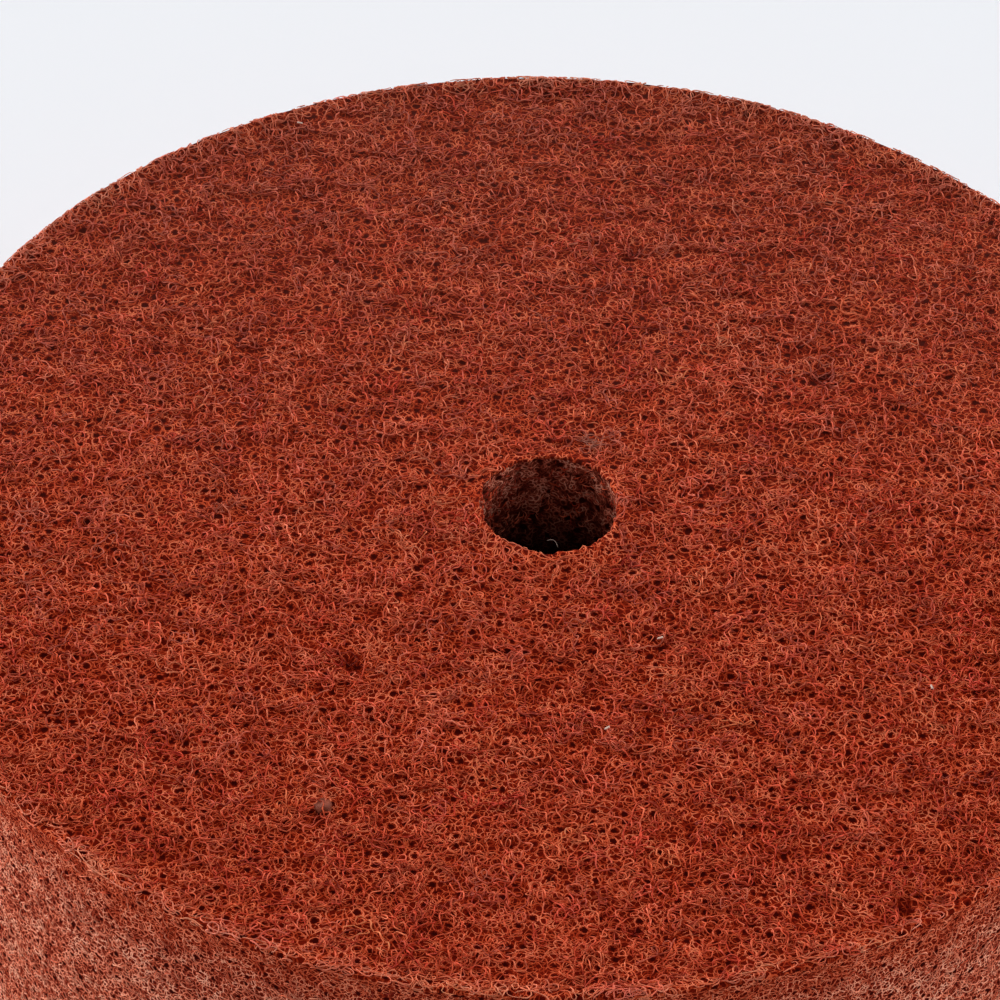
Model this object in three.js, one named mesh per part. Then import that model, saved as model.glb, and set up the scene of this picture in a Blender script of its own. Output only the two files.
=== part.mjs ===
// Non-woven fibre polishing wheel: one thick disc of bonded, curled fibre web with a plain centre bore.
// Millimetres, +Z up along the bore. The origin is the centre of the underside, so the wheel lies on z = 0.
// The web is not smooth: fibre crests reach the nominal faces, and the open hollows between them lie lower.
import * as THREE from "three";

// Driving dimensions
const OUTER_DIAMETER = 200;
const WHEEL_WIDTH = 50;
const BORE_DIAMETER = 20;
const RIM_EDGE_RADIUS = 1.8;
const BORE_EDGE_RADIUS = 0.7;

// Cutting the bore presses the web flat over this width round it, and a clamping flange seats there.
const FLANGE_LAND_WIDTH = 7;

// Relief of the web: depth of the deepest hollow, and the spacing of its crests and hollows
const WEB_HOLLOW_DEPTH = 1.1;
const WEB_PITCH = 4.6;
const WEB_SEED = 7;

// How far a crest strays from its even place in the web, as a share of the pitch
const WEB_STRAY = 0.3;

// Facets of the round bore and of each rounded edge
const BORE_FACETS = 48;
const EDGE_STEPS = 3;

const FIBRE_COLOUR = 0x84321f;

const TURN = 2 * Math.PI;
const QUARTER = TURN / 4;
const outerRadius = OUTER_DIAMETER / 2;
const boreRadius = BORE_DIAMETER / 2;
const rimCrests = 4 * Math.round((QUARTER * outerRadius) / WEB_PITCH);

// Repeatable random numbers from 0 to 1
function randomSource(seed) {
  let state = seed;
  return () => {
    state = (state + 0x6d2b79f5) | 0;
    let mixed = Math.imul(state ^ (state >>> 15), state | 1);
    mixed ^= mixed + Math.imul(mixed ^ (mixed >>> 7), mixed | 61);
    return ((mixed ^ (mixed >>> 14)) >>> 0) / 2 ** 32;
  };
}

// A point at a radius and an angle round the bore axis
function pointRound(radius, angle, height) {
  return new THREE.Vector3(radius * Math.cos(angle), radius * Math.sin(angle), height);
}

// A plain ring of evenly spaced points round the bore axis
function plainRing(radius, height, count) {
  return Array.from({ length: count }, (_, place) => {
    const angle = (TURN * place) / count;
    return { angle, point: pointRound(radius, angle, height) };
  });
}

// The rings of a rounded edge, from one angle of its section to another
function edgeRings(centreRadius, centreHeight, edgeRadius, fromAngle, toAngle, count) {
  return Array.from({ length: EDGE_STEPS + 1 }, (_, step) => {
    const angle = THREE.MathUtils.lerp(fromAngle, toAngle, step / EDGE_STEPS);
    const radius = centreRadius + edgeRadius * Math.cos(angle);
    return plainRing(radius, centreHeight + edgeRadius * Math.sin(angle), count);
  });
}

// Rings of loose web on a straight stretch of the section, which runs from one (radius, height) to another.
// Each point strays a little along the surface and is sunk by a random depth towards the inside.
function webRings(from, to, random) {
  const along = to.clone().sub(from);
  const count = Math.max(2, Math.round(along.length() / WEB_PITCH));
  const inward = new THREE.Vector2(-along.y, along.x).normalize();
  const stray = () => WEB_STRAY * (random() - 0.5);
  return Array.from({ length: count - 1 }, (_, ring) => {
    const middle = from.clone().addScaledVector(along, (ring + 1) / count);
    const crests = Math.round((TURN * middle.x) / WEB_PITCH);
    const stagger = ring % 2 ? 0.5 : 0;
    return Array.from({ length: crests }, (_, place) => {
      const angle = (TURN * (place + stagger + stray())) / crests;
      const spot = middle.clone().addScaledVector(along, stray() / count);
      spot.addScaledVector(inward, WEB_HOLLOW_DEPTH * random() ** 2);
      return { angle, point: pointRound(spot.x, angle, spot.y) };
    });
  });
}

// All rings in order: out along the underside, up the rim, in over the top, down the bore to the first
function wheelRings() {
  const random = randomSource(WEB_SEED);
  const top = WHEEL_WIDTH;
  const boreEdge = boreRadius + BORE_EDGE_RADIUS;
  const rimEdge = outerRadius - RIM_EDGE_RADIUS;
  const land = boreEdge + FLANGE_LAND_WIDTH;
  const at = (radius, height) => new THREE.Vector2(radius, height);
  return [
    ...edgeRings(boreEdge, BORE_EDGE_RADIUS, BORE_EDGE_RADIUS, 2 * QUARTER, 3 * QUARTER, BORE_FACETS),
    plainRing(land, 0, BORE_FACETS),
    ...webRings(at(land, 0), at(rimEdge, 0), random),
    ...edgeRings(rimEdge, RIM_EDGE_RADIUS, RIM_EDGE_RADIUS, -QUARTER, 0, rimCrests),
    ...webRings(at(outerRadius, RIM_EDGE_RADIUS), at(outerRadius, top - RIM_EDGE_RADIUS), random),
    ...edgeRings(rimEdge, top - RIM_EDGE_RADIUS, RIM_EDGE_RADIUS, 0, QUARTER, rimCrests),
    ...webRings(at(rimEdge, top), at(land, top), random),
    plainRing(land, top, BORE_FACETS),
    ...edgeRings(boreEdge, top - BORE_EDGE_RADIUS, BORE_EDGE_RADIUS, QUARTER, 2 * QUARTER, BORE_FACETS),
  ];
}

// Triangles that join two neighbouring rings, which may have different counts: at each step the ring whose
// next point comes first round the turn moves on.
function stitch(lower, upper, addTriangle) {
  const angleAt = (ring, i) => ring[i % ring.length].angle + TURN * Math.floor(i / ring.length);
  const indexAt = (ring, i) => ring[i % ring.length].index;
  let i = 0;
  let j = 0;
  while (i < lower.length || j < upper.length) {
    const lowerFirst = angleAt(lower, i + 1) < angleAt(upper, j + 1);
    if (j === upper.length || (i < lower.length && lowerFirst)) {
      addTriangle(indexAt(lower, i), indexAt(lower, i + 1), indexAt(upper, j));
      i += 1;
    } else {
      addTriangle(indexAt(lower, i), indexAt(upper, j + 1), indexAt(upper, j));
      j += 1;
    }
  }
}

// One closed skin through all the rings
function fibreWebGeometry() {
  const rings = wheelRings();
  const points = [];
  const triangles = [];
  for (const spot of rings.flat()) {
    spot.index = points.length;
    points.push(spot.point);
  }
  const addTriangle = (...corners) => triangles.push(...corners);
  rings.forEach((ring, i) => stitch(ring, rings[(i + 1) % rings.length], addTriangle));
  const geometry = new THREE.BufferGeometry().setFromPoints(points);
  geometry.setIndex(triangles);
  geometry.computeVertexNormals();
  return geometry;
}

const fibreWheel = new THREE.Mesh(
  fibreWebGeometry(),
  new THREE.MeshStandardMaterial({ color: FIBRE_COLOUR, roughness: 0.75, metalness: 0 }),
);
fibreWheel.name = "fibre_wheel";

const wheel = new THREE.Group();
wheel.name = "fibre_polishing_wheel";
wheel.add(fibreWheel);

export default wheel;
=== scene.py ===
"""Looks of a non-woven fibre polishing wheel: a dark inner web under layers of real curled fibres.

Lengths that describe the web are in millimetres and turned to metres by MM. The wheel lies on z = 0 with its
bore along +Z, and the camera stands on the -Y side.
"""

import math

import bmesh
import bpy
import numpy as np
from mathutils import Matrix, Quaternion, Vector, kdtree, noise


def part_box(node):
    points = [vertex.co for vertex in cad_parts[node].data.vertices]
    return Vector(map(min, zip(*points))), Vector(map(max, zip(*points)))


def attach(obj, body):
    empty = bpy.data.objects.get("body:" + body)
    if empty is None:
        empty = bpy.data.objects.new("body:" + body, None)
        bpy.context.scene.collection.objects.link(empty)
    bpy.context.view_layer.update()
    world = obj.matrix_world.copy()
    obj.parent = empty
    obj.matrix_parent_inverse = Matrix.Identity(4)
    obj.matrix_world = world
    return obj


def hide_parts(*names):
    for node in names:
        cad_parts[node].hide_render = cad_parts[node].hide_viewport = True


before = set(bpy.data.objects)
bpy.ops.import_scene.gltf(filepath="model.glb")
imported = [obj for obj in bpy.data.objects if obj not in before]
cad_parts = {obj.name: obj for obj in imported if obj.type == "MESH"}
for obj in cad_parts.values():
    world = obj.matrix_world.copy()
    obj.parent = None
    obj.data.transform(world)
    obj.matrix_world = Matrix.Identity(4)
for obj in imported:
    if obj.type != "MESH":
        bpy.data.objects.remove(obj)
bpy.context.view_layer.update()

MM = 0.001
NODE = "fibre_wheel"
BODY = "root"
rng = np.random.default_rng(20)

# Sizes of the wheel: the outside from the frame, then the bore and the rounding of the cut edges
low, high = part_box(NODE)
OUTER_R = (high.x - low.x) / 2 / MM
TOP = high.z / MM
BORE_R = 10.0
RIM_EDGE = 0.7
BORE_EDGE = 0.8

# How far the bore is torn out of round, and where and how softly the face fibres stop at the rim
BORE_TEAR = 0.7
RIM_HOLD_START = OUTER_R - 2.0
RIM_HOLD = 2.6

# How far the inner web lies under the crests of the fibres, on the faces and on the walls, and over which
# reach it rises to them along the cut edges
WEB_SINK = 1.2
WALL_SINK = 0.60
EDGE_REACH = 3.0

# Rows of the inner web: how many corners round the wheel, and how far apart along its section
AROUND = 220
WEB_STEP = 2.8

# Fibres: how many of each kind, steps along each, length of a step, and least and greatest radius
TOP_LAYERS = "abcd"
TOP_LAYER_COUNT = 1010
UNDER_COUNT = 300
EDGE_COUNT = 1000
RIM_COUNT = 6200
BORE_COUNT = 560
LONG_STEPS = 26
EDGE_STEPS = 8
RIM_STEPS = 6
BORE_STEPS = 4
FACE_STEP = 0.56
RIM_STEP = 0.50
BORE_STEP = 0.45
LONG_FIBRE = (0.090, 0.130)
FINE_FIBRE = (0.075, 0.105)
WALL_FIBRE = (0.075, 0.110)

# How sharply the face fibres curl, in radians a millimetre, and how far that strays from step to step
FACE_CURL = 1.2
CURL_STRAY = 0.35

# Middle height of the face fibres under the nominal face, and how far they weave up and down from it
MIDDLE_HEIGHT = -0.45
WEAVE_HEIGHT = 0.36

# Shares of the fibres whose ends stick out, on the top face and on the walls
LOOSE_SHARE = 0.004
STICKING_SHARE = 0.18

# Height above which the bore has fibres. Under it the bore is too dark to show any.
BORE_FIBRES_FROM = 36.0

# Shades of the fibres from 0, deepest, to 1, palest, and how pale the cut has left them on the walls
FACE_SHADE = 0.44
EDGE_SHADE = 0.56
RIM_SHADE = 0.56
BORE_SHADE = 0.14
RIM_PALENESS = 0.9
BORE_PALENESS = 0.6

# Open holes between the fibres of a face
HOLE_COUNT = 4600
HOLE_RADII = (0.20, 0.62)

# Linear colours of the fibres, from the deepest shade to the palest crest. Where a fibre's height picks among
# them, they paint shade into its dips and light onto its crests.
FIBRE_COLOURS = np.array([
    (0.220, 0.0060, 0.0012),
    (0.430, 0.0330, 0.0088),
    (0.640, 0.0890, 0.0310),
    (0.790, 0.1760, 0.0820),
    (0.870, 0.2700, 0.1550),
])
PALE_CUT_FIBRE = np.array((0.900, 0.385, 0.240))
# A grey pink that the face fibres take on in patches, more towards the far side and the left
GREY_PINK_FIBRE = np.array((0.430, 0.132, 0.094))
GREY_RESIN = np.array((0.260, 0.150, 0.110))
DULL_RESIN = np.array((0.205, 0.046, 0.024))
PALE_FIBRE = np.array((0.750, 0.560, 0.460))

# Linear colours of the inner web, from its gaps, painted dark as shade, to its fibres
FACE_WEB_COLOURS = (
    (0.040, 0.0014, 0.0006),
    (0.160, 0.0070, 0.0016),
    (0.380, 0.0350, 0.0092),
    (0.640, 0.1020, 0.0370),
    (0.830, 0.2000, 0.0950),
)
RIM_WEB_COLOURS = (
    (0.030, 0.0020, 0.0010),
    (0.145, 0.0095, 0.0040),
    (0.440, 0.0670, 0.0300),
    (0.850, 0.2230, 0.1200),
    (0.980, 0.4450, 0.2900),
)
BORE_WEB_COLOURS = (
    (0.040, 0.0042, 0.0024),
    (0.270, 0.0480, 0.0265),
    (0.640, 0.1750, 0.1080),
    (0.900, 0.3600, 0.2350),
    (0.970, 0.4900, 0.3550),
)
# A grey pink that the face web takes on more towards the far side
GREY_PINK_WEB = (0.300, 0.088, 0.062)

# Lamps: azimuth, elevation, strength and spread, and the even light from all round
LAMPS = {
    "left_lamp": (-110, 17, 3.65, 50),
    "right_lamp": (106, 17, 2.65, 50),
    "back_lamp": (180, 65, 0.52, 60),
}
EVEN_LIGHT = 0.30

# Floor and backdrop, and half the side of the floor in metres
FLOOR_COLOUR = (0.818, 0.840, 0.880)
BACKDROP_COLOUR = (0.863, 0.871, 0.905)
FLOOR_REACH = 12.0

# The photo's camera: distance to the middle of the top face, elevation, focal length, where that middle shows
PHOTO_SIDE = 1000
EYE_DISTANCE = 984.2 * MM
EYE_ELEVATION = math.radians(43.40)
FOCAL_PIXELS = 6562
MIDDLE_PIXEL = (549.9, 502.7)
EYE_ROLL = math.radians(1.67)

# Marks that the photo shows on the top face, by pixel. A pit has a radius and a depth in millimetres too.
RESIN_DROP_PIXEL = (324, 802)
RESIN_DROP_RADII = (1.30, 1.30, 0.75)
RESIN_DROP_SINK = 0.98
GREY_PATCH_PIXEL = (590, 441)
GREY_PATCH_RADIUS = 2.2
PITS = (
    ((318, 814), 1.2, 0.8),
    ((353, 659), 1.9, 1.2),
    ((823, 372), 2.0, 1.2),
    ((906, 904), 1.2, 1.4),
    ((635, 248), 1.4, 0.9),
    ((664, 642), 1.3, 0.9),
    ((690, 819), 1.2, 0.8),
    ((636, 928), 1.2, 0.8),
)
PALE_SPOT_PIXELS = ((445, 646), (591, 587), (304, 655), (238, 428))
PALE_SPOT_RADIUS = 1.8
SPECK_PIXELS = ((607, 728), (660, 638), (932, 687), (300, 123))
SPECK_RADII = (0.24, 0.18, 0.20, 0.17)
SPECK_LENGTH = 0.9
STRAND_PIXELS = ((547, 540), (558, 547))
STRAND_RADIUS = 0.035


# Camera

def camera_pose():
    """Place and turn of the camera: aimed at the middle of the top face, rolled, and panned off it."""
    target = Vector((0, 0, TOP * MM))
    away = Vector((0, -math.cos(EYE_ELEVATION), math.sin(EYE_ELEVATION)))
    place = target + away * EYE_DISTANCE
    pan = math.atan((MIDDLE_PIXEL[0] - PHOTO_SIDE / 2) / FOCAL_PIXELS)
    tilt = math.atan((MIDDLE_PIXEL[1] - PHOTO_SIDE / 2) / FOCAL_PIXELS)
    turn = (-away).to_track_quat("-Z", "Y")
    turn = turn @ Quaternion((0, 0, 1), EYE_ROLL)
    turn = turn @ Quaternion((1, 0, 0), tilt) @ Quaternion((0, 1, 0), pan)
    return place, turn


def add_camera():
    place, turn = camera_pose()
    data = bpy.data.cameras.new("photo_camera")
    data.sensor_width = 36
    data.lens = FOCAL_PIXELS / PHOTO_SIDE * data.sensor_width
    camera = bpy.data.objects.new("photo_camera", data)
    camera.matrix_world = Matrix.LocRotScale(place, turn, None)
    bpy.context.scene.collection.objects.link(camera)
    bpy.context.scene.camera = camera


def face_point(pixel):
    """The point of the top face, in millimetres, that a pixel of the photo shows."""
    place, turn = camera_pose()
    across = (pixel[0] - PHOTO_SIDE / 2) / FOCAL_PIXELS
    down = (pixel[1] - PHOTO_SIDE / 2) / FOCAL_PIXELS
    ray = turn @ Vector((across, -down, -1))
    hit = place + ray * ((TOP * MM - place.z) / ray.z)
    return np.array((hit.x, hit.y)) / MM


# Meshes

def new_piece(name, points, quads, triangles, uv, material):
    """A smooth mesh piece from points in millimetres, with the map that its colours are kept through."""
    mesh = bpy.data.meshes.new(name)
    corners = np.concatenate([quads.ravel(), triangles.ravel()])
    sizes = np.concatenate([np.full(len(quads), 4), np.full(len(triangles), 3)])
    starts = np.concatenate([[0], np.cumsum(sizes)[:-1]])
    mesh.vertices.add(len(points))
    mesh.vertices.foreach_set("co", (points * MM).astype(np.float32).ravel())
    mesh.loops.add(len(corners))
    mesh.loops.foreach_set("vertex_index", corners.astype(np.int32))
    mesh.polygons.add(len(sizes))
    mesh.polygons.foreach_set("loop_start", starts.astype(np.int32))
    mesh.uv_layers.new(name="OFBake").uv.foreach_set("vector", uv.astype(np.float32).ravel())
    mesh.update(calc_edges=True)
    mesh.polygons.foreach_set("use_smooth", np.ones(len(sizes), bool))
    mesh.materials.append(material)
    piece = bpy.data.objects.new(name, mesh)
    bpy.context.scene.collection.objects.link(piece)
    return piece


def paint_points(piece, colours):
    """Gives each point of a piece its own colour. colours has any shape that ends in 3."""
    flat = colours.reshape(-1, 3)
    tint = np.ones((len(flat), 4), np.float32)
    tint[:, :3] = flat
    attribute = piece.data.color_attributes.new("fibre_colour", "FLOAT_COLOR", "POINT")
    attribute.data.foreach_set("color", tint.ravel())


def finish_piece(piece):
    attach(piece, BODY)
    return piece


def unit(vectors):
    return vectors / np.linalg.norm(vectors, axis=-1, keepdims=True)


def map_cells(count):
    """The lower left corners of that many square cells of the map, and how many cells lie side by side."""
    cells = math.ceil(math.sqrt(count))
    place = np.arange(count)
    return np.stack([place % cells, place // cells], axis=-1) / cells, cells


def fibre_piece(name, paths, normals, radius, colours, material):
    """One piece of many closed three-sided tubes. paths, normals and colours are fibres x points x 3."""
    count, steps = paths.shape[:2]
    along = unit(np.gradient(paths, axis=1))
    side = unit(np.cross(normals, along))
    up = np.cross(along, side)
    taper = np.ones(steps)
    taper[[0, -1]] = 0.55
    thick = radius[:, None, None] * taper[None, :, None]
    rings = []
    for corner in range(3):
        turn = math.tau * (corner / 3 + 0.25)
        rings.append(paths + thick * (math.cos(turn) * side + math.sin(turn) * up))
    points = np.stack(rings, axis=2)

    # Corners of the walls and of the two ends, for every fibre at once
    index = np.arange(count * steps * 3).reshape(count, steps, 3)
    here, there = index[:, :-1], index[:, 1:]
    following = np.roll(index, -1, axis=2)
    quads = np.stack([here, following[:, :-1], following[:, 1:], there], axis=-1).reshape(-1, 4)
    ends = np.concatenate([index[:, 0, ::-1], index[:, -1]]).reshape(-1, 3)

    # Each fibre has its own cell in the map, with its walls side by side
    corner_uv, cells = map_cells(count)
    step, wall = np.meshgrid(np.arange(steps - 1), np.arange(3), indexing="ij")
    u = 0.1 + 0.8 * np.stack([step, step, step + 1, step + 1], axis=-1) / (steps - 1)
    v = 0.1 + 0.8 * np.stack([wall, wall + 1, wall + 1, wall], axis=-1) / 3
    wall_uv = corner_uv[:, None, None, None] + np.stack([u, v], axis=-1)[None] / cells
    first_uv = corner_uv[:, None] + np.array([(0.03, 0.1), (0.08, 0.5), (0.03, 0.9)])[None] / cells
    last_uv = corner_uv[:, None] + np.array([(0.97, 0.1), (0.92, 0.5), (0.97, 0.9)])[None] / cells
    uv = np.concatenate([wall_uv.reshape(-1, 2), first_uv.reshape(-1, 2), last_uv.reshape(-1, 2)])

    piece = new_piece(name, points.reshape(-1, 3), quads, ends, uv, material)
    paint_points(piece, np.repeat(colours[:, :, None], 3, axis=2))
    return finish_piece(piece)


# Shape of the web

PIT_SPOTS = [(face_point(pixel), radius, depth) for pixel, radius, depth in PITS]
PALE_SPOTS = [face_point(pixel) for pixel in PALE_SPOT_PIXELS]


def pit_depth(x, y):
    """How far the top face is sunk at a point by the torn pits."""
    depth = np.zeros(np.shape(x))
    for spot, radius, deepest in PIT_SPOTS:
        distance = np.hypot(x - spot[0], y - spot[1]) / radius
        depth = np.maximum(depth, deepest * np.exp(-distance**2))
    return depth


def patchiness(points, size):
    """Smooth noise from -1 to 1 at points in millimetres, with patches of about that size."""
    return np.array([noise.noise(Vector(point) / size) for point in points.reshape(-1, 3)])


def ragged_bore(points):
    """Moves points near the bore in or out, so that its wall and lip are torn and not true round."""
    moved = points.reshape(-1, 3).copy()
    radius = np.linalg.norm(moved[:, :2], axis=-1)
    near = radius < BORE_R + 6
    wall = np.concatenate([moved[near, :2] / radius[near, None] * BORE_R, moved[near, 2:] / 3], axis=-1)
    tear = BORE_TEAR * (0.4 + patchiness(wall + 500, 2.4) + 0.6 * patchiness(wall + 900, 1.1))
    fade = np.exp(-np.clip(radius[near] - BORE_R, 0, None) / 2.0)
    moved[near, :2] *= (1 + tear * fade / radius[near])[:, None]
    return moved.reshape(points.shape)


def colours_for(shade):
    """Fibre colours for shades from 0, deepest, to 1, palest."""
    place = np.clip(shade, 0, 1) * (len(FIBRE_COLOURS) - 1)
    stops = np.arange(len(FIBRE_COLOURS))
    return np.stack([np.interp(place, stops, FIBRE_COLOURS[:, channel]) for channel in range(3)], axis=-1)


def blended(colours, other, share):
    """Colours with a share of one other colour in them."""
    return colours * (1 - share) + other * share


def spread_over_disc(count, inner, outer):
    """Evenly spread points of a ring, as a jittered sunflower pattern."""
    place = (np.arange(count) + rng.random(count)) / count
    radius = np.sqrt(inner**2 + (outer**2 - inner**2) * place)
    angle = np.arange(count) * math.pi * (3 - math.sqrt(5)) + rng.normal(0, 0.02, count)
    return np.stack([radius * np.cos(angle), radius * np.sin(angle)], axis=-1)


HOLE_SPOTS = spread_over_disc(HOLE_COUNT, BORE_R + 1.5, OUTER_R - 1.0)
HOLE_SIZES = rng.uniform(*HOLE_RADII, HOLE_COUNT)


def curled_lines(starts, steps, step_length, curl, wander, heading=None):
    """Flat curled lines through the starts. Each curls one way for a while and then swings to the other."""
    count = len(starts)
    s = (np.arange(steps) - steps / 2) * step_length
    swing = rng.uniform(0.5, 1.1, (count, 1)) * curl
    lean = rng.choice((-1, 1), (count, 1)) * rng.uniform(0.1, 0.9, (count, 1)) * curl
    wave = rng.uniform(4.0, 9.0, (count, 1))
    phase = rng.uniform(0, math.tau, (count, 1))
    bend = lean + swing * np.sin(math.tau * s[None] / wave + phase) + rng.normal(0, wander, (count, steps))
    if heading is None:
        heading = rng.uniform(0, math.tau, count)
    course = heading[:, None] + np.cumsum(bend, axis=1) * step_length
    moves = np.stack([np.cos(course), np.sin(course)], axis=-1) * step_length
    lines = np.cumsum(moves, axis=1)
    lines -= lines[:, steps // 2][:, None]
    return starts[:, None] + lines


def open_holes(flat):
    """Pushes flat lines out of the holes of the web, so that they wrap round them."""
    tree = kdtree.KDTree(len(HOLE_SPOTS))
    for i, spot in enumerate(HOLE_SPOTS):
        tree.insert((spot[0], spot[1], 0), i)
    tree.balance()
    points = flat.reshape(-1, 2).copy()
    nearest = [tree.find((x, y, 0)) for x, y in points]
    which = np.array([found[1] for found in nearest])
    distance = np.maximum(np.array([found[2] for found in nearest]), 0.02)
    hole = HOLE_SIZES[which]
    pushed = np.where(distance < 2 * hole, hole + distance / 2, distance)
    centres = HOLE_SPOTS[which]
    points = centres + (points - centres) * (pushed / distance)[:, None]
    return points.reshape(flat.shape)


def over_the_edges(flat, height, face_z, outward):
    """Lays flat lines on a face of the wheel. They turn down into the bore, and end at the rim's cut edge."""
    radius = np.linalg.norm(flat, axis=-1)
    direction = flat / np.maximum(radius, 1e-6)[..., None]
    past_start = np.clip(radius - RIM_HOLD_START, 0, None)
    radius = np.minimum(radius, RIM_HOLD_START) + RIM_HOLD * np.tanh(past_start / RIM_HOLD)
    past_rim = np.clip(radius - (OUTER_R - RIM_EDGE), 0, None)
    past_bore = np.clip(BORE_R + BORE_EDGE - radius, 0, None)
    turn_rim = np.clip(past_rim / (RIM_EDGE * math.pi / 2), 0, 1) * math.pi / 2
    turn_bore = np.clip(past_bore / (BORE_EDGE * math.pi / 2), 0, 1) * math.pi / 2
    beyond_rim = np.clip(past_rim - RIM_EDGE * math.pi / 2, 0, None)
    beyond_bore = np.clip(past_bore - BORE_EDGE * math.pi / 2, 0, None)
    out = np.clip(radius, BORE_R + BORE_EDGE, OUTER_R - RIM_EDGE)
    lean = np.sin(turn_rim) - np.sin(turn_bore)
    rise = np.cos(turn_rim) * np.cos(turn_bore)
    out = out + (RIM_EDGE + height) * np.sin(turn_rim) - (BORE_EDGE + height) * np.sin(turn_bore)
    drop = RIM_EDGE * (1 - np.cos(turn_rim)) + BORE_EDGE * (1 - np.cos(turn_bore))
    level = -(drop + beyond_rim + beyond_bore) + height * rise
    points = np.concatenate([direction * out[..., None], (face_z + outward * level)[..., None]], axis=-1)
    normals = np.concatenate([direction * lean[..., None], (outward * rise)[..., None]], axis=-1)
    return points, unit(normals)


def woven_heights(reach, loose):
    """Heights of face fibres as they weave in and out. Their ends dip in, or stick up on a loose share."""
    count, steps = reach.shape
    s = np.arange(steps) * FACE_STEP
    wave = rng.uniform(2.2, 5.0, (count, 1))
    weave = np.sin(math.tau * s[None] / wave + rng.uniform(0, math.tau, (count, 1)))
    height = MIDDLE_HEIGHT + WEAVE_HEIGHT * weave + rng.normal(0, 0.10, (count, 1))
    at_ends = np.exp(-np.minimum(s, s[::-1]) / 0.6)
    lifted = rng.random((count, 1)) < loose
    height += at_ends[None] * np.where(lifted, rng.uniform(0.3, 0.8, (count, 1)), -0.4)
    near_edge = np.clip(np.maximum(reach - (OUTER_R - 3), BORE_R + 2.5 - reach) / 2, 0, 1)
    return height * (1 - 0.85 * near_edge) + 0.20 * near_edge


def face_colours(points, reach, height_shade_and_pale_spots, shade):
    """Colours of face fibres: patches of shade and hue, more grey pink towards the far side and the left, and
    pale cut ends along the rim with a painted highlight.
    """
    count, steps = reach.shape
    middle = points[:, steps // 2]
    patch = 0.22 * patchiness(middle, 9.0) + 0.12 * patchiness(middle + 300, 3.5)
    shades = (shade + patch + rng.normal(0, 0.08, count))[:, None] + height_shade_and_pale_spots
    shades += 0.07 * rng.normal(0, 1, (count, steps))
    colours = colours_for(shades)
    warmth = 0.45 * patchiness(middle + 1100, 5.0)[:, None]
    colours[..., 1] *= 1 + warmth
    colours[..., 2] *= 1 + 0.4 * warmth
    # A share of grey pink that grows towards the far side and the left, and varies in patches and from fibre
    # to fibre
    grey_pink_share = 0.14 + 0.0024 * middle[:, 1] - 0.0006 * middle[:, 0]
    grey_pink_share += 0.25 * patchiness(middle + 700, 6.0) + rng.normal(0, 0.16, count)
    colours = blended(colours, GREY_PINK_FIBRE, np.clip(grey_pink_share, 0, 0.6)[:, None, None])
    # Paler near the rim: pale cut ends, with a painted highlight where the edge catches the light
    cut = 0.4 * np.clip((reach - OUTER_R + 4) / 4, 0, 1)[..., None] * rng.random((count, 1, 1))
    colours = blended(colours, PALE_CUT_FIBRE, cut)
    off_patch = np.sum((points[..., :2] - face_point(GREY_PATCH_PIXEL)) ** 2, axis=-1)
    grey = 0.7 * np.exp(-off_patch / GREY_PATCH_RADIUS**2)
    return blended(colours, GREY_RESIN, grey[..., None])


def face_fibres(name, starts, steps, shade, material, face_z, outward,
                heading=None, loose=0.0, thick=LONG_FIBRE):
    """Curled fibres on the top or under face, which weave in and out of the web, with painted light on their
    crests and painted shade in their dips and in the pits.
    """
    flat = open_holes(curled_lines(starts, steps, FACE_STEP, FACE_CURL, CURL_STRAY, heading))
    reach = np.linalg.norm(flat, axis=-1)
    height = woven_heights(reach, loose)
    # Painted light and shade by height: paler on the crests, darker in the dips, and darker again in the
    # pits. The pale spots are marks of their own.
    height_shade_and_pale_spots = 0.28 * (height - MIDDLE_HEIGHT)
    if outward > 0:
        for spot in PALE_SPOTS:
            height_shade_and_pale_spots += 0.25 * np.exp(-np.sum((flat - spot) ** 2, axis=-1) / PALE_SPOT_RADIUS**2)
        pit = pit_depth(flat[..., 0], flat[..., 1])
        height -= pit
        height_shade_and_pale_spots -= 0.4 * pit
    points, normals = over_the_edges(flat, height, face_z, outward)
    points = ragged_bore(points)
    colours = face_colours(points, reach, height_shade_and_pale_spots, shade)
    radius = rng.uniform(*thick, len(starts))
    return fibre_piece(name, points, normals, radius, colours, material)


def edge_fibres(name, count, material):
    """Short fine fibres along the cut edge of the top face, which fill it out to a firm line."""
    angle = rng.uniform(0, math.tau, count)
    radius = OUTER_R - 1.0 + rng.normal(0, 1.3, count)
    starts = np.stack([radius * np.cos(angle), radius * np.sin(angle)], axis=-1)
    heading = angle + math.pi / 2 + rng.normal(0, 1.0, count)
    return face_fibres(name, starts, EDGE_STEPS, EDGE_SHADE, material, TOP, 1, heading, thick=FINE_FIBRE)


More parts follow.
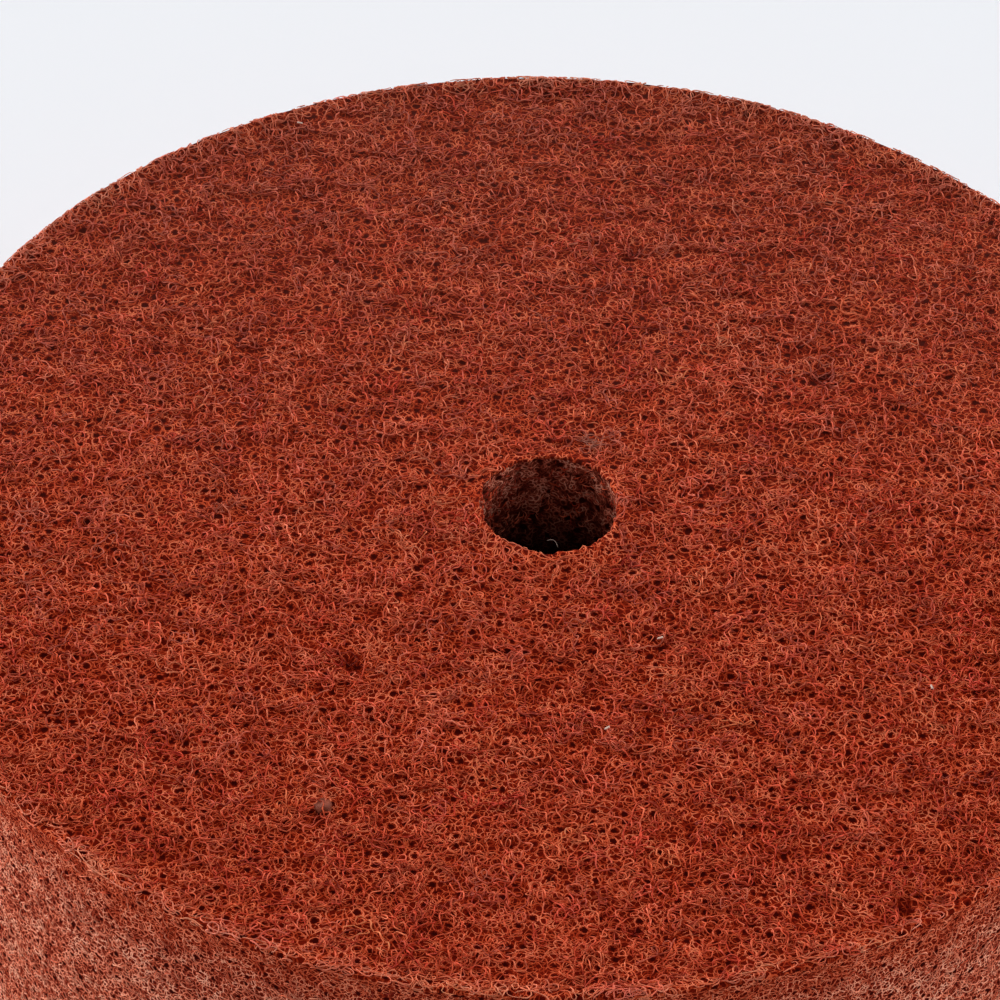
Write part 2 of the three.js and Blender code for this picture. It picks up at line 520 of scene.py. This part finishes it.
def wall_fibres(name, count, steps, step_length, wall_r, outward, shade, material, lowest, paleness):
    """Short fibres on the cut rim or in the bore, along the wall. Their ends turn in, or stick out."""
    angle = rng.uniform(0, math.tau, count)
    height = rng.uniform(lowest + 0.6, TOP - 0.6, count)
    heading = rng.normal(0, 3.0, count) + math.pi * rng.integers(0, 2, count)
    bend = rng.normal(0, 0.9, (count, 1)) + rng.normal(0, 0.4, (count, steps))
    course = heading[:, None] + np.cumsum(bend, axis=1) * step_length
    across = np.cumsum(np.cos(course), axis=1) * step_length
    rise = np.cumsum(np.sin(course), axis=1) * step_length
    theta = angle[:, None] + (across - across[:, steps // 2, None]) / wall_r
    z = np.clip(height[:, None] + rise - rise[:, steps // 2, None], 0.35, TOP - 0.35)
    s = np.linspace(-1, 1, steps)
    arch = -0.45 * s[None] ** 2
    stick = np.where(rng.random((count, 1)) < STICKING_SHARE, 0.5, 0.0) * np.clip(s[None], 0, 1)
    proud = rng.uniform(-0.40, 0.10, (count, 1)) + arch + stick
    radius = wall_r + outward * proud
    points = ragged_bore(np.stack([radius * np.cos(theta), radius * np.sin(theta), z], axis=-1))
    normals = np.stack([outward * np.cos(theta), outward * np.sin(theta), 0 * theta], axis=-1)
    middle = points[:, steps // 2]
    shades = shade + 0.2 * patchiness(middle, 7.0) + 0.25 * patchiness(middle + 70, 2.2)
    shades += rng.normal(0, 0.12, count)
    # Painted light and shade: fibres that stand proud of the wall are paler, while sunk ones and their
    # turned-in ends are darker.
    colours = colours_for(shades[:, None] + 0.8 * (proud + 0.3))
    band = 2 + 6 * patchiness(middle + 400, 6.0)[:, None]
    below_edge = np.clip((TOP - band - z) / 11, 0, 1)[..., None]
    pale = paleness * below_edge * rng.uniform(0.0, 1.0, (count, 1, 1))
    colours = blended(colours, PALE_CUT_FIBRE, pale)
    thick = rng.uniform(*WALL_FIBRE, count)
    return fibre_piece(name, points, normals, thick, colours, material)


def resin_drop(material):
    """The hard drop of dull resin that the photo shows in the near left of the top face."""
    ball = bmesh.new()
    bmesh.ops.create_icosphere(ball, subdivisions=3, radius=1.0)
    points = np.array([corner.co for corner in ball.verts])
    triangles = np.array([[corner.index for corner in face.verts] for face in ball.faces])
    ball.free()
    lumps = 1 + 0.4 * patchiness(points, 0.6) + 0.3 * patchiness(points + 9, 0.25)
    points = points * lumps[:, None] * RESIN_DROP_RADII
    points[:, :2] += face_point(RESIN_DROP_PIXEL)
    points[:, 2] += TOP - RESIN_DROP_SINK
    corner_uv, cells = map_cells(len(triangles))
    uv = corner_uv[:, None] + np.array([(0.1, 0.1), (0.9, 0.1), (0.1, 0.9)])[None] / cells
    piece = new_piece("resin_drop", points, np.empty((0, 4), int), triangles, uv.reshape(-1, 2), material)
    paint_points(piece, np.tile(DULL_RESIN, (len(points), 1)))
    return finish_piece(piece)


def loose_bits(material):
    """Pale specks caught in the top face, and one pale strand that lies over the near lip of the bore."""
    steps = 9
    paths = []
    for pixel in SPECK_PIXELS:
        turn = rng.uniform(0, math.tau)
        along = np.linspace(-SPECK_LENGTH / 2, SPECK_LENGTH / 2, steps)[:, None]
        along = along * (math.cos(turn), math.sin(turn))
        lift = np.full((steps, 1), TOP + 0.05)
        paths.append(np.concatenate([face_point(pixel) + along, lift], axis=-1))
    s = np.linspace(0, 1, steps)[:, None]
    arch = np.sin(math.pi * s)
    start, end = (face_point(pixel) for pixel in STRAND_PIXELS)
    strand = start * (1 - s) + end * s + 0.35 * arch * (0.6, 0.8)
    paths.append(np.concatenate([strand, TOP - 0.1 + 0.5 * arch], axis=-1))
    paths = np.array(paths)
    normals = np.tile((0.0, 0.0, 1.0), (*paths.shape[:2], 1))
    colours = np.tile(PALE_FIBRE, (*paths.shape[:2], 1))
    colours[-1] *= 0.4
    radius = np.array((*SPECK_RADII, STRAND_RADIUS))
    return fibre_piece("loose_bits", paths, normals, radius, colours, material)


# Inner web

def section():
    """The wheel's closed section, as rows of radius, height, normal and the part that each lies on."""
    rows = []

    def straight(part, start, end, normal):
        count = max(1, round(math.dist(start, end) / WEB_STEP))
        for place in np.linspace(0, 1, count, endpoint=False):
            spot = np.array(start) * (1 - place) + np.array(end) * place
            rows.append((*spot, *normal, part))

    def corner(part, centre, radius, start, end):
        for turn in np.linspace(start, end, 3, endpoint=False):
            way = (math.cos(turn), math.sin(turn))
            rows.append((centre[0] + radius * way[0], centre[1] + radius * way[1], *way, part))

    quarter = math.pi / 2
    inner, outer = BORE_R + BORE_EDGE, OUTER_R - RIM_EDGE
    corner("under", (inner, BORE_EDGE), BORE_EDGE, 2 * quarter, 3 * quarter)
    straight("under", (inner, 0), (outer, 0), (0, -1))
    corner("rim", (outer, RIM_EDGE), RIM_EDGE, -quarter, 0)
    straight("rim", (OUTER_R, RIM_EDGE), (OUTER_R, TOP - RIM_EDGE), (1, 0))
    corner("top", (outer, TOP - RIM_EDGE), RIM_EDGE, 0, quarter)
    straight("top", (outer, TOP), (inner, TOP), (0, 1))
    corner("top", (inner, TOP - BORE_EDGE), BORE_EDGE, quarter, 2 * quarter)
    straight("bore", (BORE_R, TOP - BORE_EDGE), (BORE_R, BORE_EDGE), (-1, 0))
    return rows


def web_points(rows):
    """The points of the inner web, ring by ring: sunk under the fibres, lumpy, and pitted on the top face."""
    theta = np.arange(AROUND) / AROUND * math.tau
    way = np.stack([np.cos(theta), np.sin(theta)], axis=-1)
    points = np.empty((len(rows), AROUND, 3))
    for ring, (radius, height, out, rise, part) in zip(points, rows):
        ring[:, :2] = way * radius
        ring[:, 2] = height
        lumps = patchiness(ring, 2.6) * 0.30 + patchiness(ring + 200, 6.0) * 0.20
        if part in ("top", "under"):
            inland, deep = min(OUTER_R - radius, radius - BORE_R), WEB_SINK
        else:
            inland, deep = min(height, TOP - height), WALL_SINK
        inland = min(max(inland / EDGE_REACH, 0), 1)
        sink = deep * inland + lumps * (0.25 + 0.75 * inland) * deep / WEB_SINK
        if part == "bore":
            sink = sink + lumps + 0.5 * patchiness(ring + 50, 1.3)
        if part == "top":
            sink = sink + pit_depth(ring[:, 0], ring[:, 1])
        ring[:, :2] -= way * (out * sink)[:, None]
        ring[:, 2] -= rise * sink
    return ragged_bore(points)


def web_map(points, parts):
    """The map of the inner web: a disc for each face, and a strip each for the rim and the bore."""
    uv = np.empty((len(parts), AROUND, 4, 2))
    for i, part in enumerate(parts):
        following = (i + 1) % len(parts)
        for corner, (ring, ahead_by) in enumerate(((i, 0), (i, 1), (following, 1), (following, 0))):
            turn = np.arange(AROUND) + ahead_by
            if part in ("top", "under"):
                disc = points[ring][turn % AROUND, :2] / OUTER_R * 0.24
                uv[i, :, corner] = disc + ((0.25, 0.75) if part == "top" else (0.75, 0.75))
            else:
                level = points[ring][turn % AROUND, 2] / TOP
                uv[i, :, corner, 0] = turn / AROUND
                uv[i, :, corner, 1] = 0.12 + 0.34 * level if part == "rim" else 0.02 + 0.06 * level
    return uv.reshape(-1, 2)


def inner_web(face_material, rim_material, bore_material):
    """The dark mass of web under the surface fibres, in one closed skin with a material for each part."""
    rows = section()
    parts = [row[4] for row in rows]
    points = web_points(rows)
    index = np.arange(len(rows) * AROUND).reshape(len(rows), AROUND)
    ahead, beside = np.roll(index, -1, axis=0), np.roll(index, -1, axis=1)
    quads = np.stack([index, beside, np.roll(ahead, -1, axis=1), ahead], axis=-1).reshape(-1, 4)
    no_triangles = np.empty((0, 3), int)
    uv = web_map(points, parts)
    piece = new_piece("inner_web", points.reshape(-1, 3), quads, no_triangles, uv, face_material)
    piece.data.materials.append(rim_material)
    piece.data.materials.append(bore_material)
    slots = {"top": 0, "under": 0, "rim": 1, "bore": 2}
    material_index = np.repeat([slots[part] for part in parts], AROUND)
    piece.data.polygons.foreach_set("material_index", material_index.astype(np.int32))
    return finish_piece(piece)


# Shader nodes

def new_material(name, roughness, specular):
    material = bpy.data.materials.new(name)
    material.use_nodes = True
    shader = material.node_tree.nodes["Principled BSDF"]
    shader.inputs["Roughness"].default_value = roughness
    shader.inputs["Specular IOR Level"].default_value = specular
    return material, material.node_tree, shader


def wheel_place(tree):
    """The place on the wheel, in its own space. On a face it serves as a flat place."""
    return tree.nodes.new("ShaderNodeTexCoord").outputs["Object"]


def place_along(tree, axis):
    """How far along X, Y or Z the place lies."""
    split = tree.nodes.new("ShaderNodeSeparateXYZ")
    tree.links.new(wheel_place(tree), split.inputs["Vector"])
    return split.outputs[axis]


def wall_place(tree, radius):
    """The place on a round wall of that radius, unrolled flat: along the turn, and up."""
    towards = math_node(tree, "MULTIPLY", place_along(tree, "Y"), -1.0)
    turn = math_node(tree, "ARCTAN2", place_along(tree, "X"), towards)
    join = tree.nodes.new("ShaderNodeCombineXYZ")
    tree.links.new(math_node(tree, "MULTIPLY", turn, radius * MM), join.inputs["X"])
    tree.links.new(place_along(tree, "Z"), join.inputs["Y"])
    return join.outputs["Vector"]


def math_node(tree, operation, first, second):
    """The result of an operation on two values, each a socket or a number."""
    node = tree.nodes.new("ShaderNodeMath")
    node.operation = operation
    for socket, value in zip(node.inputs, (first, second)):
        if isinstance(value, (int, float)):
            socket.default_value = value
        else:
            tree.links.new(value, socket)
    return node.outputs["Value"]


def value_range(tree, value, start, end, low=0.0, high=1.0, course="SMOOTHSTEP"):
    """Turns start to end of a value into low to high, and holds it there outside."""
    node = tree.nodes.new("ShaderNodeMapRange")
    node.interpolation_type = course
    node.inputs["From Min"].default_value = start
    node.inputs["From Max"].default_value = end
    node.inputs["To Min"].default_value = low
    node.inputs["To Max"].default_value = high
    tree.links.new(value, node.inputs["Value"])
    return node.outputs["Result"]


def wheel_noise(tree, size, detail=2.0):
    """A noise texture on the wheel, with features of that size in millimetres."""
    texture = tree.nodes.new("ShaderNodeTexNoise")
    texture.inputs["Scale"].default_value = 1 / (size * MM)
    texture.inputs["Detail"].default_value = detail
    tree.links.new(wheel_place(tree), texture.inputs["Vector"])
    return texture


def scaled(tree, colour, factor):
    """A colour made brighter or darker by a factor."""
    node = tree.nodes.new("ShaderNodeVectorMath")
    node.operation = "SCALE"
    tree.links.new(colour, node.inputs[0])
    tree.links.new(factor, node.inputs["Scale"])
    return node.outputs["Vector"]


def mixed(tree, share, first, second):
    """Two colours mixed, with that share of the second, which is a socket or a fixed colour."""
    node = tree.nodes.new("ShaderNodeMix")
    node.data_type = "RGBA"
    tree.links.new(share, node.inputs["Factor"])
    tree.links.new(first, node.inputs["A"])
    if isinstance(second, tuple):
        node.inputs["B"].default_value = (*second, 1)
    else:
        tree.links.new(second, node.inputs["B"])
    return node.outputs["Result"]


def colour_ramp(tree, value, colours):
    """Colours from 0 to 1 of a value."""
    ramp = tree.nodes.new("ShaderNodeValToRGB")
    stops = ramp.color_ramp.elements
    while len(stops) < len(colours):
        stops.new(0.5)
    for stop, place, colour in zip(stops, np.linspace(0.0, 1.0, len(colours)) ** 1.4, colours):
        stop.position = place
        stop.color = (*colour, 1)
    tree.links.new(value, ramp.inputs["Fac"])
    return ramp.outputs["Color"]


def raised(tree, shader, height, strength, distance):
    """Lets a surface stand up by a height mask, up to a distance in millimetres."""
    bump = tree.nodes.new("ShaderNodeBump")
    bump.inputs["Strength"].default_value = strength
    bump.inputs["Distance"].default_value = distance * MM
    tree.links.new(height, bump.inputs["Height"])
    tree.links.new(bump.outputs["Normal"], shader.inputs["Normal"])


# Masks of the web

def scattered_cells(tree, place, cell, feature):
    """A flat pattern of scattered cells of about that size in millimetres."""
    node = tree.nodes.new("ShaderNodeTexVoronoi")
    node.voronoi_dimensions = "2D"
    node.feature = feature
    node.inputs["Scale"].default_value = 1 / (cell * MM)
    tree.links.new(place, node.inputs["Vector"])
    return node


def own_value(tree, spots, channel):
    """A random value from 0 to 1 of each scattered cell."""
    own = tree.nodes.new("ShaderNodeSeparateColor")
    tree.links.new(spots.outputs["Color"], own.inputs["Color"])
    return own.outputs[channel]


def curl_lines(tree, place, cell, ring, width):
    """A mask of thin curls, each with a strength of its own: rings of a radius round scattered points."""
    spots = scattered_cells(tree, place, cell, "F1")
    off = math_node(tree, "SUBTRACT", spots.outputs["Distance"], ring / cell)
    away = math_node(tree, "ABSOLUTE", off, 0.0)
    line = value_range(tree, away, width / cell, 0.35 * width / cell)
    strength = value_range(tree, own_value(tree, spots, "Red"), 0.0, 1.0, low=0.25)
    return math_node(tree, "MULTIPLY", line, strength)


def cell_lines(tree, place, cell, width):
    """A mask of thin crossing fibres along the edges of scattered cells, broken up along their length."""
    edges = scattered_cells(tree, place, cell, "DISTANCE_TO_EDGE")
    line = value_range(tree, edges.outputs["Distance"], width / cell, 0.35 * width / cell)
    breaks = wheel_noise(tree, 0.8 * cell, detail=0.0).outputs["Fac"]
    return math_node(tree, "MULTIPLY", line, value_range(tree, breaks, 0.36, 0.60, low=0.4))


def hole_shade_mask(tree, place, cell, hole):
    """Painted shade in the open holes of the web: 0 in them, 1 outside them. The holes have many sizes up to
    that radius.
    """
    spots = scattered_cells(tree, place, cell, "F1")
    closed = math_node(tree, "MULTIPLY", own_value(tree, spots, "Green"), hole / cell)
    distance = math_node(tree, "ADD", spots.outputs["Distance"], closed)
    return value_range(tree, distance, 0.5 * hole / cell, hole / cell)


def pit_shade_mask(tree):
    """Painted shade in the torn pits of the top face: low in them, 1 outside them."""
    mask = None
    for spot, radius, depth in PIT_SPOTS:
        distance = tree.nodes.new("ShaderNodeVectorMath")
        distance.operation = "DISTANCE"
        distance.inputs[1].default_value = (spot[0] * MM, spot[1] * MM, (TOP - WEB_SINK) * MM)
        tree.links.new(wheel_place(tree), distance.inputs[0])
        pit = value_range(tree, distance.outputs["Value"], 0.5 * radius * MM, 1.4 * radius * MM, low=0.30)
        mask = pit if mask is None else math_node(tree, "MULTIPLY", mask, pit)
    return mask


def web_lines(tree, place, layers, hole_cell, hole, patch_size, faintest):
    """A mask of all the fibres of the inner web: layers of curls or crossing lines, with painted shade in the
    gaps between them and in the open holes.
    """
    warp = wheel_noise(tree, 1.8, detail=3.0)
    push = tree.nodes.new("ShaderNodeVectorMath")
    push.operation = "MULTIPLY_ADD"
    push.inputs[1].default_value = (0.8 * MM,) * 3
    tree.links.new(warp.outputs["Color"], push.inputs[0])
    tree.links.new(place, push.inputs[2])
    bent = push.outputs["Vector"]
    lines = None
    for pattern, *sizes in layers:
        layer = pattern(tree, bent, *sizes)
        lines = layer if lines is None else math_node(tree, "MAXIMUM", lines, layer)
    lines = math_node(tree, "MAXIMUM", lines, 0.12)
    lines = math_node(tree, "MULTIPLY", lines, hole_shade_mask(tree, bent, hole_cell, hole))
    patches = wheel_noise(tree, patch_size, detail=1.0).outputs["Fac"]
    return math_node(tree, "MULTIPLY", lines, value_range(tree, patches, 0.3, 0.7, low=faintest, high=1.1))


# Materials

def duller_far(tree, colour):
    """Dulls a colour towards the far side of the wheel, as the photo shows it."""
    dull = value_range(tree, place_along(tree, "Y"), 10 * MM, 100 * MM, low=1.0, high=0.88)
    return scaled(tree, colour, dull)


def raise_lines(tree, shader, lines):
    """Lets the fibres of the inner web stand up from it, with the gaps duller than the fibres."""
    raised(tree, shader, lines, strength=0.7, distance=0.2)
    tree.links.new(value_range(tree, lines, 0.0, 1.0, low=0.90, high=0.60), shader.inputs["Roughness"])


def fibre_material():
    """Resin-coated fibre: the colour painted on each point, painted light and shade included, broken up along
    its length, over a gritty surface.
    """
    material, tree, shader = new_material("resin_coated_fibre", roughness=0.55, specular=0.15)
    own = tree.nodes.new("ShaderNodeVertexColor")
    own.layer_name = "fibre_colour"
    grain = wheel_noise(tree, 1.6).outputs["Fac"]
    shade = value_range(tree, grain, 0.3, 0.7, low=0.74, high=1.26, course="LINEAR")
    colour = duller_far(tree, scaled(tree, own.outputs["Color"], shade))
    tree.links.new(colour, shader.inputs["Base Color"])
    tree.links.new(value_range(tree, grain, 0.3, 0.7, low=0.70, high=0.42), shader.inputs["Roughness"])
    grit = wheel_noise(tree, 0.35, detail=0.0).outputs["Fac"]
    raised(tree, shader, grit, strength=0.6, distance=0.06)
    return material


def face_web_material():
    """The web under the fibres of the two faces: rust-red curls and crossing fibres over gaps painted deep
    red as shade.
    """
    material, tree, shader = new_material("face_web", roughness=0.7, specular=0.02)
    layers = (
        (curl_lines, 1.9, 0.80, 0.16),
        (cell_lines, 1.5, 0.12),
        (cell_lines, 1.0, 0.105),
    )
    place = wheel_place(tree)
    lines = web_lines(tree, place, layers, hole_cell=1.9, hole=0.74, patch_size=4.0, faintest=0.58)
    lines = math_node(tree, "MULTIPLY", lines, pit_shade_mask(tree))
    # More grey pink towards the far side
    paler_far = value_range(tree, place_along(tree, "Y"), -40 * MM, 100 * MM, high=0.16)
    colour = mixed(tree, paler_far, colour_ramp(tree, lines, FACE_WEB_COLOURS), GREY_PINK_WEB)
    tree.links.new(duller_far(tree, colour), shader.inputs["Base Color"])
    raise_lines(tree, shader, lines)
    return material


def rim_web_material():
    """The cut rim: fine pale fibres over gaps painted brown-red as shade, with an uneven redder band under
    the upper edge.
    """
    material, tree, shader = new_material("rim_web", roughness=0.7, specular=0.02)
    layers = (
        (curl_lines, 1.6, 0.68, 0.12),
        (cell_lines, 1.1, 0.12),
        (cell_lines, 0.75, 0.10),
    )
    place = wall_place(tree, OUTER_R)
    lines = web_lines(tree, place, layers, hole_cell=1.7, hole=0.60, patch_size=2.8, faintest=0.58)
    stray = math_node(tree, "MULTIPLY", wheel_noise(tree, 6.0).outputs["Fac"], 14 * MM)
    level = math_node(tree, "ADD", place_along(tree, "Z"), stray)
    redder = value_range(tree, level, (TOP - 7) * MM, (TOP + 5) * MM, high=0.85)
    pale, red = (colour_ramp(tree, lines, colours) for colours in (RIM_WEB_COLOURS, FACE_WEB_COLOURS))
    tree.links.new(mixed(tree, redder, pale, red), shader.inputs["Base Color"])
    raise_lines(tree, shader, lines)
    return material


def bore_web_material():
    """The wall of the bore: the same web, with painted shade that darkens it the deeper it lies."""
    material, tree, shader = new_material("bore_web", roughness=0.8, specular=0.02)
    layers = ((curl_lines, 1.2, 0.50, 0.14), (curl_lines, 0.85, 0.36, 0.12))
    place = wall_place(tree, BORE_R)
    lines = web_lines(tree, place, layers, hole_cell=2.2, hole=0.85, patch_size=1.9, faintest=0.15)
    # Painted shade, darker the deeper down the bore
    depth = value_range(tree, place_along(tree, "Z"), (TOP - 22) * MM, (TOP - 2) * MM, low=0.08)
    colour = scaled(tree, colour_ramp(tree, lines, BORE_WEB_COLOURS), depth)
    tree.links.new(colour, shader.inputs["Base Color"])
    raise_lines(tree, shader, lines)
    return material


def floor_material():
    material, tree, shader = new_material("pale_floor", roughness=0.9, specular=0.1)
    shader.inputs["Base Color"].default_value = (*FLOOR_COLOUR, 1)
    return material


# Scene

def add_sun(name, azimuth, elevation, strength, spread):
    """A wide soft lamp. azimuth is seen from above, from the camera's side (0) round to the right (90)."""
    data = bpy.data.lights.new(name, "SUN")
    data.energy = strength
    data.angle = math.radians(spread)
    lamp = bpy.data.objects.new(name, data)
    a, e = math.radians(azimuth), math.radians(elevation)
    towards = Vector((math.sin(a) * math.cos(e), -math.cos(a) * math.cos(e), math.sin(e)))
    lamp.rotation_euler = towards.to_track_quat("Z", "Y").to_euler()
    bpy.context.scene.collection.objects.link(lamp)


def add_world(strength):
    """Even light from all round. Seen or mirrored, the surroundings are as pale as the floor."""
    world = bpy.data.worlds.new("studio")
    world.use_nodes = True
    tree = world.node_tree
    light = tree.nodes["Background"]
    light.inputs["Color"].default_value = (1, 1, 1, 1)
    light.inputs["Strength"].default_value = strength
    backdrop = tree.nodes.new("ShaderNodeBackground")
    backdrop.inputs["Color"].default_value = (*BACKDROP_COLOUR, 1)
    ray = tree.nodes.new("ShaderNodeLightPath").outputs
    mirrored = math_node(tree, "MAXIMUM", ray["Is Glossy Ray"], ray["Is Transmission Ray"])
    choice = tree.nodes.new("ShaderNodeMixShader")
    tree.links.new(math_node(tree, "MAXIMUM", ray["Is Camera Ray"], mirrored), choice.inputs["Fac"])
    tree.links.new(light.outputs["Background"], choice.inputs[1])
    tree.links.new(backdrop.outputs["Background"], choice.inputs[2])
    tree.links.new(choice.outputs["Shader"], tree.nodes["World Output"].inputs["Surface"])
    bpy.context.scene.world = world


def add_floor():
    mesh = bpy.data.meshes.new("floor")
    side = FLOOR_REACH
    corners = [(-side, -side, 0), (side, -side, 0), (side, side, 0), (-side, side, 0)]
    mesh.from_pydata(corners, [], [(0, 1, 2, 3)])
    mesh.materials.append(floor_material())
    floor = bpy.data.objects.new("floor", mesh)
    bpy.context.scene.collection.objects.link(floor)


def face_starts(count):
    """Starts of the long fibres of a face."""
    return spread_over_disc(count, BORE_R + 1, OUTER_R - 0.5)


# Build

fibres = fibre_material()
web = inner_web(face_web_material(), rim_web_material(), bore_web_material())
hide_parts(NODE)
for layer in TOP_LAYERS:
    starts = face_starts(TOP_LAYER_COUNT)
    face_fibres("top_fibres_" + layer, starts, LONG_STEPS, FACE_SHADE, fibres, TOP, 1, loose=LOOSE_SHARE)
edge_fibres("edge_fibres", EDGE_COUNT, fibres)
face_fibres("under_fibres", face_starts(UNDER_COUNT), LONG_STEPS, FACE_SHADE, fibres, 0.0, -1)
wall_fibres("rim_fibres", RIM_COUNT, RIM_STEPS, RIM_STEP, OUTER_R, 1, RIM_SHADE, fibres,
            lowest=0.0, paleness=RIM_PALENESS)
wall_fibres("bore_fibres", BORE_COUNT, BORE_STEPS, BORE_STEP, BORE_R, -1, BORE_SHADE, fibres,
            lowest=BORE_FIBRES_FROM, paleness=BORE_PALENESS)
resin_drop(fibres)
loose_bits(fibres)

add_camera()
for lamp, setting in LAMPS.items():
    add_sun(lamp, *setting)
add_world(EVEN_LIGHT)
add_floor()
bpy.context.scene.view_settings.view_transform = "Standard"

bpy.context.view_layer.update()
